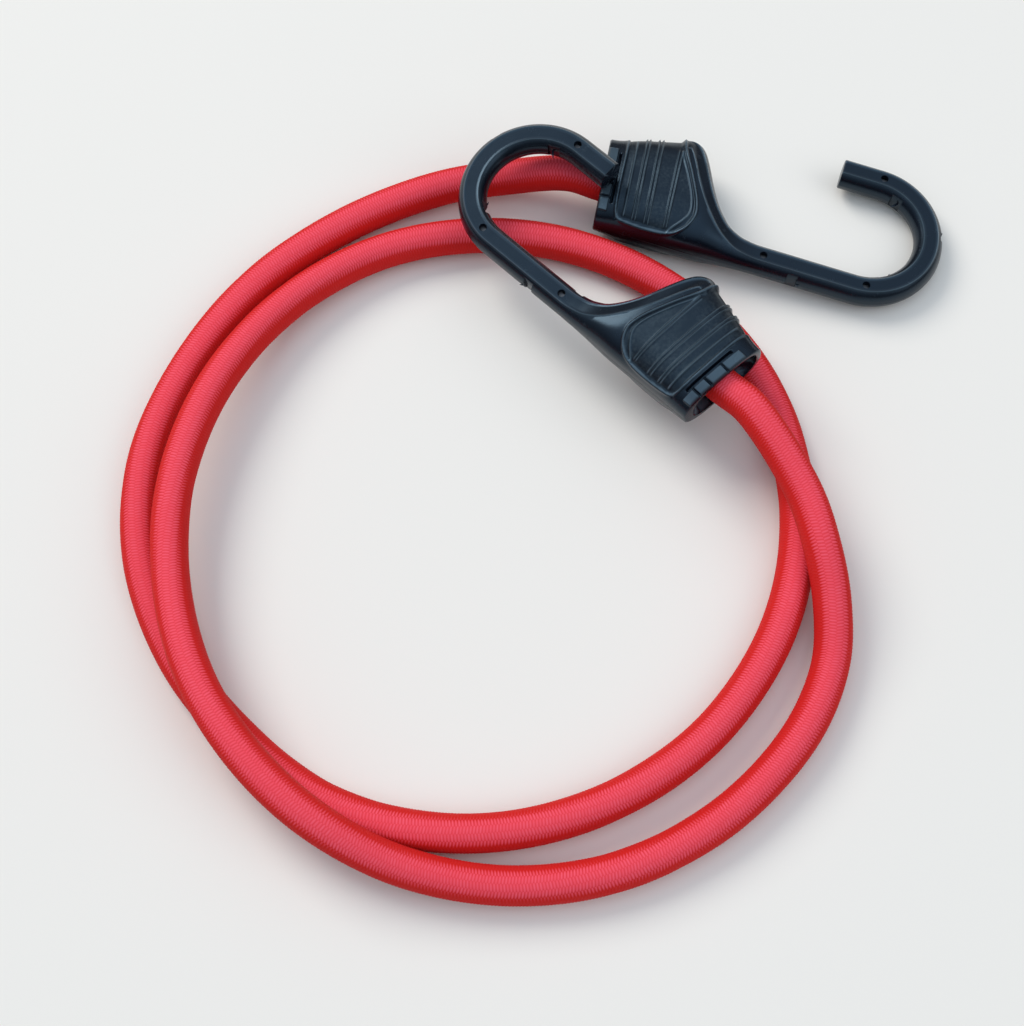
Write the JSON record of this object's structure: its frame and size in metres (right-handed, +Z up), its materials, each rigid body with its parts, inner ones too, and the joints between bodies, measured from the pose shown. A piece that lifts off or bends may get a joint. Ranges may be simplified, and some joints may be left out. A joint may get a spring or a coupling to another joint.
{
  "type": "bungee cord",
  "caption": "Braided elastic cord laid in loose turns, with a moulded open hook on each end that swivels about the cord; it stretches to strap a load down.",
  "frame": {"origin": "on the surface that the cord lies on, below the middle of the box round the two hooks", "axes": "+Z up from the surface; +X along the longer way over the two hooks, towards the second hook's curl; +Y towards the side away from the cord's turns"},
  "size_m": [0.1827, 0.1745, 0.0246],
  "materials": {
    "braid": "woven polyester sheath, red, matt with a slight sheen",
    "rubber": "natural latex strands, pale and dusty",
    "moulding": "black moulded nylon, satin, with glossy shoulders",
    "steel": "plain drawn steel",
    "zinc": "bright zinc plate"
  },
  "bodies": {
    "cord": {"cord_sheath": "braid", "rubber_core": "rubber", "ferrule_1": "zinc", "ferrule_2": "zinc"},
    "hook_1": {"hook_1_shell": "moulding", "hook_1_steel_core": "steel"},
    "hook_2": {"hook_2_shell": "moulding", "hook_2_steel_core": "steel"}
  },
  "joints": [
    {"name": "hook_1_swivel", "type": "hinge", "parent": "cord", "child": "hook_1", "pos_m": [0.002, -0.0292, 0.0166], "axis": [0.7241, -0.6896, 0.0087], "range_deg": [0, 30]},
    {"name": "hook_2_swivel", "type": "hinge", "parent": "cord", "child": "hook_2", "pos_m": [-0.0227, 0.0268, 0.00863], "axis": [0.9535, -0.2933, -0.0689], "range_deg": [0, 30]}
  ]
}
